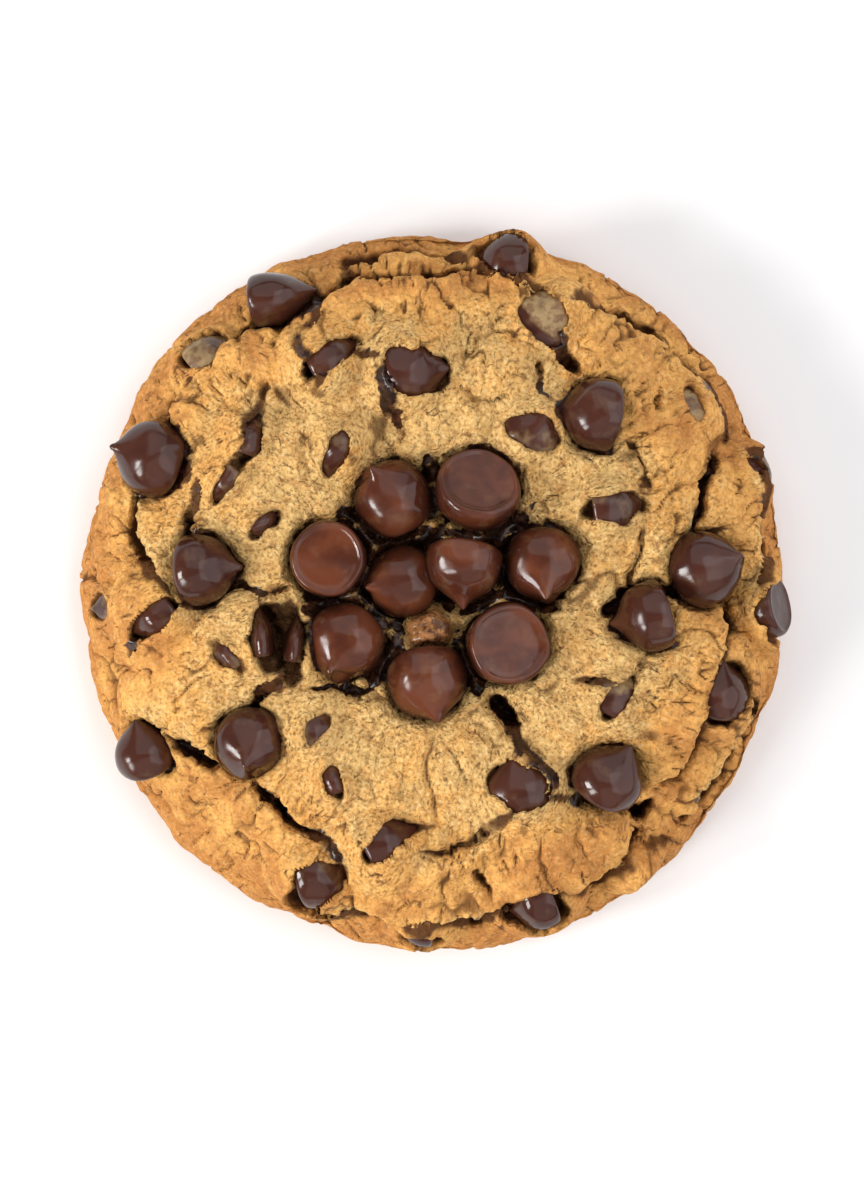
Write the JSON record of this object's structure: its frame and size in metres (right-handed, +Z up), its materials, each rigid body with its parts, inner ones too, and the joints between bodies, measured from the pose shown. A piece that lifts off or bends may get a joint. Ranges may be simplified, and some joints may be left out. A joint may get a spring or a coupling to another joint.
{
  "type": "chocolate chip cookie",
  "caption": "Thick round cookie with a cracked, craggy top, a flat underside and whole chocolate chips set in it, grouped in the middle and scattered to the rim.",
  "frame": {"origin": "middle of the flat underside", "axes": "+Z up out of the top, +Y towards the top of the picture, +X to its right"},
  "size_m": [0.0856, 0.0863, 0.0228],
  "materials": {
    "dough": "matte baked crumb",
    "chocolate": "satin"
  },
  "bodies": {
    "root": {"dough": "dough", "chip_centre_1": "chocolate", "chip_centre_2": "chocolate", "chip_centre_3": "chocolate", "chip_centre_4": "chocolate", "chip_centre_5": "chocolate", "chip_centre_6": "chocolate", "chip_centre_7": "chocolate", "chip_centre_8": "chocolate", "chip_centre_9": "chocolate", "chip_north_1": "chocolate", "chip_north_2": "chocolate", "chip_north_3": "chocolate", "chip_north_4": "chocolate", "chip_north_5": "chocolate", "chip_north_east_1": "chocolate", "chip_north_east_2": "chocolate", "chip_north_east_3": "chocolate", "chip_east_1": "chocolate", "chip_east_2": "chocolate", "chip_east_3": "chocolate", "chip_east_4": "chocolate", "chip_east_5": "chocolate", "chip_east_6": "chocolate", "chip_south_east_1": "chocolate", "chip_south_east_2": "chocolate", "chip_south_east_3": "chocolate", "chip_south_east_4": "chocolate", "chip_south_1": "chocolate", "chip_south_2": "chocolate", "chip_south_3": "chocolate", "chip_south_4": "chocolate", "chip_south_west_1": "chocolate", "chip_south_west_2": "chocolate", "chip_south_west_3": "chocolate", "chip_south_west_4": "chocolate", "chip_west_1": "chocolate", "chip_west_2": "chocolate", "chip_west_3": "chocolate", "chip_west_4": "chocolate", "chip_west_5": "chocolate", "chip_west_6": "chocolate", "chip_west_7": "chocolate", "chip_west_8": "chocolate", "chip_north_west_1": "chocolate", "chip_north_west_2": "chocolate", "chip_north_west_3": "chocolate", "chip_north_west_4": "chocolate"}
  },
  "joints": []
}
